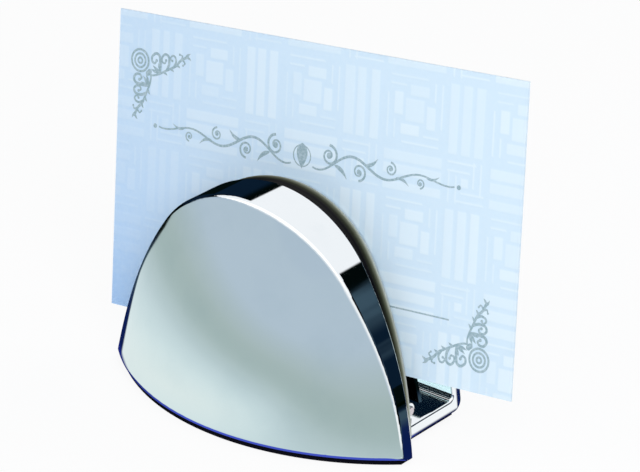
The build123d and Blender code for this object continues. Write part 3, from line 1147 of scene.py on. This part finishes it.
@dataclass
class CardAssembly:
    """The place card: an embossed sheet with a printed ornament in two corners, a flourish and a rule.

    Places on the card are in millimetres from its top left corner, across and down.
    """

    node: bpy.types.Object
    weave: Weave = Weave()
    corner_scroll: CornerScroll = CornerScroll()
    flourish: Flourish = Flourish()
    finish: CardFinish = CardFinish()
    cell: float = 0.3
    least_cell: float = 0.3
    emboss_depth: float = 0.03
    least_tone: float = 0.6
    # Painted shade: how strong the deeper blue is at the lower left and how it fades
    painted_shade_strength: float = 0.55
    painted_shade_fade: float = 1.6
    painted_shade_top: float = 0.5
    painted_shade_gain: float = 1.45
    painted_shade_rise: float = 2.2
    sharp_angle: float = 60.0
    ink_lift: float = 0.004
    ink_crown: float = 0.012
    upper_roundel: Point = (5.05, 8.8)
    lower_roundel: Point = (83.0, 49.2)
    rule_start: Point = (60.5, 43.4)
    rule_length: float = 15.8
    rule_width: float = 0.28
    rule_points: int = 8
    front: Vector = field(init=False)
    up: Vector = field(init=False)
    across: Vector = field(init=False)
    corner: Vector = field(init=False)
    width: float = field(init=False)
    height: float = field(init=False)
    thickness: float = field(init=False)

    def __post_init__(self) -> None:
        """Read the card's place and size from its solid."""
        front, up, across = main_directions(self.node)[:3]
        self.front = facing(front, -REAR)
        self.up = facing(up, UP)
        self.across = facing(across, RIGHT)
        points = [vertex.co for vertex in self.node.data.vertices]
        reach = [[point.dot(axis) for point in points] for axis in (self.across, self.up, self.front)]
        (left, right), (low, high), (rear, fore) = [(min(values), max(values)) for values in reach]
        self.corner = self.across * left + self.up * high + self.front * fore
        self.width = (right - left) / MM
        self.height = (high - low) / MM
        self.thickness = (fore - rear) / MM

    def place(self, u: float, v: float, lift: float) -> Vector:
        """Point on the card, lifted off its front face, in the frame."""
        return self.corner + (self.across * u - self.up * v + self.front * lift) * MM

    def build(self) -> None:
        """Model the card and its print."""
        self.add_sheet()
        self.add_print()

    def grid_lines(self, size: float, origin: float) -> np.ndarray:
        """Places of the mesh lines across the card, in step with the embossing.

        Args:
            size: Width or height of the card.
            origin: Middle of one knot of the weave.

        Returns:
            Places from 0 to the size.
        """
        margin = self.least_cell * self.cell
        inner = np.arange(origin % self.cell, size, self.cell)
        inner = inner[(inner > margin) & (inner < size - margin)]
        return np.concatenate([[0.0], inner, [size]])

    def needed_lines(self, pattern: np.ndarray) -> np.ndarray:
        """Tell which mesh lines lie at or beside a change of the embossing.

        Args:
            pattern: The embossing, line by line.

        Returns:
            True for each line to keep, and for the two outermost at either end.
        """
        change = (pattern[1:] != pattern[:-1]).any(axis=1)
        two_on_each_side = np.ones(4)
        keep = np.convolve(change, two_on_each_side)[1:-1] > 0.0
        keep[[0, 1, -2, -1]] = True
        return keep

    def painted_shade(self, u: np.ndarray, v: np.ndarray) -> np.ndarray:
        """Painted shade of deeper blue, which fades from the lower left to the right.

        Args:
            u: Places across.
            v: Places down.

        Returns:
            Its strength at each place.
        """
        across = (1.0 - u / self.width) ** self.painted_shade_fade
        down = self.painted_shade_top + self.painted_shade_gain * (v / self.height) ** self.painted_shade_rise
        return np.clip(self.painted_shade_strength * across * down, 0.0, 1.0)

    def sheet_faces(self, across: int, down: int) -> list[tuple[int, ...]]:
        """Faces of the sheet, front and rear by turns and then its cut edges.

        Args:
            across: Points in a row.
            down: Number of rows.

        Returns:
            Corner numbers of each face. The rear's points come after the front's.
        """
        count = across * down
        faces = []
        for row in range(down - 1):
            for column in range(across - 1):
                here = row * across + column
                below = here + across
                faces.append((here, below, below + 1, here + 1))
                faces.append((here + count, here + count + 1, below + count + 1, below + count))
        top = list(range(across))
        right = [row * across + across - 1 for row in range(1, down)]
        bottom = [count - 1 - column for column in range(1, across)]
        left = [row * across for row in range(down - 2, -1, -1)]
        edge = top + right + bottom + left
        return faces + [(here, there, there + count, here + count) for here, there in zip(edge, edge[1:])]

    def add_sheet(self) -> None:
        """Model the embossed sheet and its cut edges."""
        columns = self.grid_lines(self.width, self.weave.place[0])
        rows = self.grid_lines(self.height, self.weave.place[1])
        v, u = np.meshgrid(rows, columns, indexing="ij")
        pattern = np.sum(self.weave.pattern(u, v), axis=0)
        columns, rows = columns[self.needed_lines(pattern.T)], rows[self.needed_lines(pattern)]
        v, u = np.meshgrid(rows, columns, indexing="ij")
        height, tone = self.weave.pattern(u, v)
        rim = (u == 0.0) | (v == 0.0) | (u == self.width) | (v == self.height)
        front = np.where(rim, 0.0, self.emboss_depth * (height - 1.0))
        rear = -self.thickness - front
        vertices = [self.place(*spot) for spot in zip(u.flat, v.flat, front.flat)]
        vertices += [self.place(*spot) for spot in zip(u.flat, v.flat, rear.flat)]
        faces = self.sheet_faces(len(columns), len(rows))
        piece = add_mesh("place_card_sheet", vertices, faces, self.finish, self.sharp_angle)
        shades = {
            self.finish.emboss_attribute: height * (self.least_tone + (1.0 - self.least_tone) * tone),
            # Painted shade towards the lower left
            self.finish.painted_shade_attribute: self.painted_shade(u, v),
        }
        for name, shade in shades.items():
            layer = piece.data.attributes.new(name, "FLOAT", "POINT")
            layer.data.foreach_set("value", np.tile(shade.flatten(), 2).astype(np.float32))
        piece.visible_glossy = False
        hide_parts("place_card")
        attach(piece, Body.CARD.value)

    def add_print(self) -> None:
        """Draw the ornaments, the flourish and the rule, and lay them on the card."""
        ink = Print(self.ink_crown)
        self.corner_scroll.draw(ink, self.upper_roundel, 1.0)
        self.corner_scroll.draw(ink, self.lower_roundel, -1.0)
        self.flourish.draw(ink)
        u, v = self.rule_start
        rule = [(u + self.rule_length * share, v) for share in np.linspace(0.0, 1.0, self.rule_points)]
        ink.line(rule, [self.rule_width] * len(rule))
        vertices = [self.place(u, v, lift + self.ink_lift) for u, v, lift in ink.vertices]
        piece = add_mesh("card_print", vertices, ink.faces, InkFinish())
        piece.visible_glossy = False
        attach(piece, Body.CARD.value)


PANEL_WHITE: Colour = (1.25, 1.15, 1.16)


@dataclass(frozen=True)
class MirroredFloor:
    """The floor as the chrome mirrors it, a painted reflection: painted pools of light in front and behind, a
    painted blue contact shadow close by, dark behind.

    In metres, X across and Y to the rear.
    """

    pool_place: Point = (-0.036, -0.023)
    pool_size: Point = (0.105, 0.29)
    pool_spread: float = 0.4
    panel_slant: float = 0.6
    panel_rear: Span = (0.0, 0.02)
    panel_side: Span = (0.05, 0.08)
    dark_turn: float = -0.079
    dark_side: float = -0.034
    dark_slopes: Point = (0.6, -0.72)
    dark_round: float = 0.034
    dark_edge: Span = (0.0392, 0.0402)
    dark_spread: float = 5.0
    haze_scale: float = 30.0
    haze_share: float = 0.3
    rear_widening: float = 0.4
    rear_side: Span = (0.022, 0.012)
    rear_start: Span = (0.018, 0.026)
    rear_spread: float = 5.0
    # Painted contact shadow round the base, blue and navy, seen only by the chrome
    painted_shadow_blue: Colour = (0.08, 0.11, 0.65)
    painted_shadow_navy: Colour = (0.01, 0.02, 0.22)
    rim_fade: Span = (-0.030, -0.005)
    rim_middle: float = 0.035
    rim_reach: Span = (0.0535, 0.0520)
    rim_rear: Span = (0.010, 0.004)
    rim_side: Span = (0.0335, 0.0325)
    strip_slant: float = -1.233
    strip_depth: Band = ((-0.0345, -0.0315), (-0.0169, -0.0173))
    strip_width: Band = ((0.0305, 0.0311), (0.065, 0.045))

    def colour(self, wiring: Wiring) -> Socket:
        """Lay the areas over each other.

        Args:
            wiring: Wiring of the floor's material.

        Returns:
            The colour at each place.
        """
        place = wiring.add("ShaderNodeNewGeometry").outputs["Position"]
        x, y, _ = wiring.parts(place)
        panel_rear = wiring.run(wiring.math("MULTIPLY_ADD", x, self.panel_slant, y), self.panel_rear)
        panel = wiring.product(panel_rear, wiring.run(x, self.panel_side))
        colour = wiring.blend(panel, self.pool_colour(wiring, place), PANEL_WHITE)
        colour = wiring.blend(self.dark_area(wiring, x, y), colour, self.dark_colour(wiring, place))
        outward = wiring.math("MULTIPLY_ADD", y, -self.rear_widening, wiring.math("ABSOLUTE", x))
        rear = wiring.product(wiring.run(y, self.rear_start), wiring.run(outward, self.rear_side))
        colour = wiring.blend(rear, colour, self.rear_colour(wiring, y))
        # Painted contact shadow round the base
        around = wiring.length(wiring.moved(place, (0.0, -self.rim_middle, 0.0), (1.0, 1.0, 0.0)))
        rim = wiring.product(
            wiring.run(around, self.rim_reach), wiring.run(y, self.rim_rear), wiring.run(x, self.rim_side)
        )
        painted_shadow_colour = wiring.blend(wiring.run(x, self.rim_fade), self.painted_shadow_navy, self.painted_shadow_blue)
        colour = wiring.blend(rim, colour, painted_shadow_colour)
        rearward = wiring.math("MULTIPLY_ADD", x, self.strip_slant, y)
        strip = wiring.product(wiring.band(rearward, self.strip_depth), wiring.band(x, self.strip_width))
        return wiring.blend(strip, colour, PANEL_WHITE)

    def pool_colour(self, wiring: Wiring, place: Socket) -> Socket:
        """Painted pool of light in front, brightest in its middle.

        Args:
            wiring: Wiring of the floor's material.
            place: Place on the floor.

        Returns:
            The colour there.
        """
        steps = {
            0.0: (0.985, 1.0, 0.98),
            0.12: (0.86, 0.92, 0.93),
            0.22: (0.70, 0.77, 0.79),
            0.32: (0.575, 0.645, 0.645),
            0.42: (0.505, 0.575, 0.565),
            0.6: (0.54, 0.60, 0.61),
            1.0: (0.60, 0.66, 0.76),
        }
        scale = (1.0 / self.pool_size[0], 1.0 / self.pool_size[1], 0.0)
        shift = (-self.pool_place[0] * scale[0], -self.pool_place[1] * scale[1], 0.0)
        reach = wiring.length(wiring.moved(place, shift, scale))
        return wiring.colour_steps(wiring.math("MULTIPLY", reach, self.pool_spread), steps)

    def dark_area(self, wiring: Wiring, x: Socket, y: Socket) -> Socket:
        """Dark floor behind, whose border bends back and forward again at the left.

        Args:
            wiring: Wiring of the floor's material.
            x: Place across.
            y: Place to the rear.

        Returns:
            A mask that is 1 on the dark floor.
        """
        aside = wiring.math("SUBTRACT", wiring.math("MINIMUM", x, self.dark_side), self.dark_turn)
        slant = wiring.math("MAXIMUM", *(wiring.math("MULTIPLY", aside, slope) for slope in self.dark_slopes))
        bend = wiring.math("SQRT", wiring.math("MULTIPLY_ADD", slant, slant, self.dark_round**2))
        return wiring.run(wiring.math("ADD", y, bend), self.dark_edge)

    def dark_colour(self, wiring: Wiring, place: Socket) -> Socket:
        """Dark floor behind, navy close by with a paler haze and then black.

        Args:
            wiring: Wiring of the floor's material.
            place: Place on the floor.

        Returns:
            The colour there.
        """
        steps = {
            0.0: (0.012, 0.02, 0.12),
            0.3: (0.008, 0.02, 0.09),
            0.5: (0.05, 0.085, 0.12),
            0.62: (0.012, 0.026, 0.05),
            0.75: (0.001, 0.004, 0.004),
        }
        reach = wiring.math("MULTIPLY", wiring.length(place), self.dark_spread)
        haze = wiring.math("MULTIPLY_ADD", wiring.noise(place, self.haze_scale), self.haze_share, reach)
        return wiring.colour_steps(wiring.math("SUBTRACT", haze, self.haze_share / 2), steps)

    def rear_colour(self, wiring: Wiring, y: Socket) -> Socket:
        """Painted pool of light behind, brightest a little way off.

        Args:
            wiring: Wiring of the floor's material.
            y: Place to the rear.

        Returns:
            The colour there.
        """
        steps = {
            0.1: (0.34, 0.40, 0.45),
            0.3: (0.85, 0.90, 0.91),
            0.8: (0.52, 0.59, 0.63),
        }
        return wiring.colour_steps(wiring.math("MULTIPLY", y, self.rear_spread), steps)


@dataclass(frozen=True)
class MirroredTent:
    """The surroundings as the chrome mirrors them: a pale front, a dark rear and a white ceiling.

    Masks go by a direction's parts, X across, Y to the rear and Z up.
    """

    front: Colour = (0.574, 0.636, 0.746)
    front_corner: float = -0.5
    front_slant: float = -0.6
    front_edge: Span = (0.05, -0.15)
    low_night: Colour = (0.004, 0.013, 0.03)
    high_night: Colour = (0.001, 0.003, 0.003)
    night_rise: Span = (0.30, 0.40)
    haze: Colour = (0.06, 0.10, 0.14)
    high_haze: Band = ((0.20, 0.30), (0.39, 0.37))
    low_haze: Band = ((0.10, 0.14), (0.18, 0.165))
    low_haze_share: float = 0.7
    haze_scale: float = 14.0
    haze_detail: float = 2.0
    haze_patches: Span = (0.25, 0.6)
    haze_side: Span = (0.0, 0.2)
    glow_slant: float = 0.6
    glow_rise: Span = (0.02, 0.6)
    glow_rear: Span = (0.1, 0.0)
    rear_ceiling: Colour = (1.22, 1.12, 1.15)
    front_ceiling: Colour = (1.6, 1.45, 1.45)
    ceiling_edge: Span = (0.474, 0.494)
    ceiling_drop: float = 0.03
    ceiling_drop_side: Span = (-0.4, -0.5)
    corner_side: Span = (-0.465, -0.505)
    corner_rear: Span = (0.1, 0.3)
    corner_mirrorings: Span = (1.2, 1.8)
    corner_gap: Band = ((0.560, 0.568), (0.600, 0.592))
    corner_gap_white: Colour = (2.1, 1.95, 2.0)

    def colour(self, wiring: Wiring, direction: Socket, mirrorings: Socket) -> Socket:
        """Lay the areas over each other.

        Args:
            wiring: Wiring of the world.
            direction: Direction that is looked in.
            mirrorings: How often the ray was mirrored.

        Returns:
            The colour in that direction.
        """
        x, y, z = wiring.parts(direction)
        leftward = wiring.math("MINIMUM", wiring.math("SUBTRACT", x, self.front_corner), 0.0)
        front = wiring.run(wiring.math("MULTIPLY_ADD", leftward, self.front_slant, y), self.front_edge)
        tent = wiring.blend(front, self.night_colour(wiring, direction, x, z), self.front)
        sideways = wiring.product(x, wiring.math("ADD", y, 1.0))
        rising = wiring.math("MULTIPLY_ADD", sideways, self.glow_slant, z)
        glow = wiring.product(wiring.run(rising, self.glow_rise), wiring.run(y, self.glow_rear))
        tent = wiring.blend(glow, tent, PANEL_WHITE)
        corner = wiring.product(
            wiring.run(x, self.corner_side),
            wiring.run(y, self.corner_rear),
            wiring.run(mirrorings, self.corner_mirrorings),
        )
        higher = wiring.math("MULTIPLY_ADD", wiring.run(x, self.ceiling_drop_side), self.ceiling_drop, z)
        overhead = wiring.math("SUBTRACT", wiring.run(higher, self.ceiling_edge), corner)
        ceiling = wiring.blend(front, self.rear_ceiling, self.front_ceiling)
        tent = wiring.blend(wiring.math("MAXIMUM", overhead, 0.0), tent, ceiling)
        gap = wiring.product(corner, wiring.band(z, self.corner_gap))
        return wiring.blend(gap, tent, self.corner_gap_white)

    def night_colour(self, wiring: Wiring, direction: Socket, x: Socket, z: Socket) -> Socket:
        """Dark rear, with two bands of hazy patches at the right.

        Args:
            wiring: Wiring of the world.
            direction: Direction that is looked in.
            x: Its part across.
            z: Its part upward.

        Returns:
            The colour in that direction.
        """
        low = wiring.product(wiring.band(z, self.low_haze), self.low_haze_share)
        patches = wiring.run(wiring.noise(direction, self.haze_scale, self.haze_detail), self.haze_patches)
        bands = wiring.math("MAXIMUM", wiring.band(z, self.high_haze), low)
        haze = wiring.product(bands, patches, wiring.run(x, self.haze_side))
        night = wiring.blend(wiring.run(z, self.night_rise), self.low_night, self.high_night)
        return wiring.blend(haze, night, self.haze)


@dataclass(frozen=True)
class Lamp:
    """Soft square lamp that faces the object and doesn't show in the chrome, in metres and watts."""

    name: str
    place: Place
    size: float
    power: float
    aim: Place = (0.0, 0.0, 0.03)

    def build(self) -> None:
        """Hang the lamp."""
        lamp = bpy.data.lights.new(self.name, "AREA")
        lamp.size = self.size
        lamp.energy = self.power
        holder = add_object(self.name, lamp)
        holder.location = self.place
        aim = Vector(self.aim) - holder.location
        holder.rotation_euler = aim.to_track_quat("-Z", "Y").to_euler()
        holder.visible_glossy = False


@dataclass
class Studio:
    """Pale floor, soft lamps and the surroundings that the chrome mirrors."""

    floor_level: float = -0.1 * MM
    floor_size: float = 6.0
    shadow_share: float = 0.1
    white: Colour = (1.0, 1.0, 1.0)
    paper: Colour = (0.86, 0.87, 0.88)
    pale_paper: Colour = (0.9, 0.9, 0.9)
    paper_scale: float = 9.0
    room_light: Colour = (0.5, 0.51, 0.53)
    mirrored_floor: MirroredFloor = MirroredFloor()
    mirrored_tent: MirroredTent = MirroredTent()
    lamps: tuple[Lamp, ...] = (
        Lamp("key_lamp", (0.42, -0.36, 0.42), size=0.4, power=2.3),
        Lamp("fill_lamp", (-0.5, -0.8, 0.6), size=0.8, power=1.5),
        Lamp("rear_lamp", (0.2, 0.9, 0.8), size=0.8, power=3.0),
    )

    def build(self) -> None:
        """Set the scene."""
        self.add_floor()
        self.add_world()
        for lamp in self.lamps:
            lamp.build()
        bpy.context.scene.view_settings.view_transform = "Standard"

    def add_floor(self) -> None:
        """Lay a floor that keeps the shadow, white to the camera and, to the chrome, a painted reflection
        with painted pools of light.
        """
        half = self.floor_size / 2
        corners = [(-half, -half), (half, -half), (half, half), (-half, half)]
        mesh = bpy.data.meshes.new("floor")
        mesh.from_pydata([(x, y, self.floor_level) for x, y in corners], [], [(0, 1, 2, 3)])
        mesh.materials.append(self.floor_material())
        floor = add_object("floor", mesh)

    def floor_material(self) -> bpy.types.Material:
        """Make the floor's finish.

        Returns:
            The material.
        """
        material = bpy.data.materials.new("floor_sweep")
        wiring = blank_wiring(material)
        ray = wiring.add("ShaderNodeLightPath")
        mirrored = ray.outputs["Is Glossy Ray"]
        seen = wiring.math("MAXIMUM", ray.outputs["Is Camera Ray"], mirrored)
        seen = wiring.math("MAXIMUM", seen, ray.outputs["Is Transmission Ray"])
        # To glossy rays the floor glows with a painted reflection: pools of light, white panels, a painted
        # contact shadow and dark floor
        colour = wiring.blend(mirrored, self.white, self.mirrored_floor.colour(wiring))
        glow = wiring.add("ShaderNodeEmission", {"Color": colour})
        place = wiring.add("ShaderNodeNewGeometry").outputs["Position"]
        paper = wiring.blend(wiring.noise(place, self.paper_scale), self.paper, self.pale_paper)
        matt = wiring.add("ShaderNodeBsdfDiffuse", {"Color": paper})
        keep = wiring.math("MULTIPLY", seen, 1.0 - self.shadow_share)
        share = wiring.math("MAXIMUM", keep, mirrored)
        mixed = wiring.add("ShaderNodeMixShader", {0: share, 1: matt.outputs[0], 2: glow.outputs[0]})
        wiring.add("ShaderNodeOutputMaterial", {"Surface": mixed.outputs[0]})
        return material

    def add_world(self) -> None:
        """Make the surroundings: white to the camera, a tent with a white ceiling to the chrome."""
        world = bpy.data.worlds.new("studio")
        wiring = blank_wiring(world)
        ray = wiring.add("ShaderNodeLightPath")
        direction = wiring.add("ShaderNodeTexCoord").outputs["Generated"]
        tent = self.mirrored_tent.colour(wiring, direction, ray.outputs["Glossy Depth"])
        colour = wiring.blend(ray.outputs["Is Glossy Ray"], self.room_light, tent)
        seen = wiring.math("MAXIMUM", ray.outputs["Is Camera Ray"], ray.outputs["Is Transmission Ray"])
        colour = wiring.blend(seen, colour, self.white)
        light = wiring.add("ShaderNodeBackground", {"Color": colour})
        wiring.add("ShaderNodeOutputWorld", {"Surface": light.outputs[0]})
        bpy.context.scene.world = world


@dataclass
class Viewpoint:
    """The camera, at the photograph's angle."""

    azimuth: float = 39.05
    elevation: float = 25.21
    distance: float = 0.6
    target: Place = (0.01261, 0.0, 0.03702)
    lens: float = 196.4
    sensor: float = 36.0
    nearest: float = 0.01

    def build(self) -> None:
        """Add the camera and make it the scene's own."""
        turn = math.radians(self.azimuth)
        rise = math.radians(self.elevation)
        back = Vector((math.sin(turn) * math.cos(rise), -math.cos(turn) * math.cos(rise), math.sin(rise)))
        camera = bpy.data.cameras.new("camera")
        camera.lens = self.lens
        camera.sensor_width = self.sensor
        camera.sensor_fit = "HORIZONTAL"
        camera.clip_start = self.nearest
        holder = add_object("camera", camera)
        holder.location = Vector(self.target) + back * self.distance
        holder.rotation_euler = (-back).to_track_quat("-Z", "Y").to_euler()
        bpy.context.scene.camera = holder


def main() -> None:
    """Load the frame, dress each sub-assembly, and set the studio and the camera."""
    logging.basicConfig(level=logging.INFO, format="%(message)s")
    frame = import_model()
    nodes = frame["nodes"]
    hinge = next(joint for joint in frame["joints"] if joint["name"] == "clamp_hinge")
    ShellAssembly(nodes).build()
    FootAssembly(nodes).build()
    ClampAssembly(nodes, Vector(hinge["pos_m"])).build()
    CardAssembly(nodes["place_card"]).build()
    Studio().build()
    Viewpoint().build()


if __name__ == "__main__":
    main()
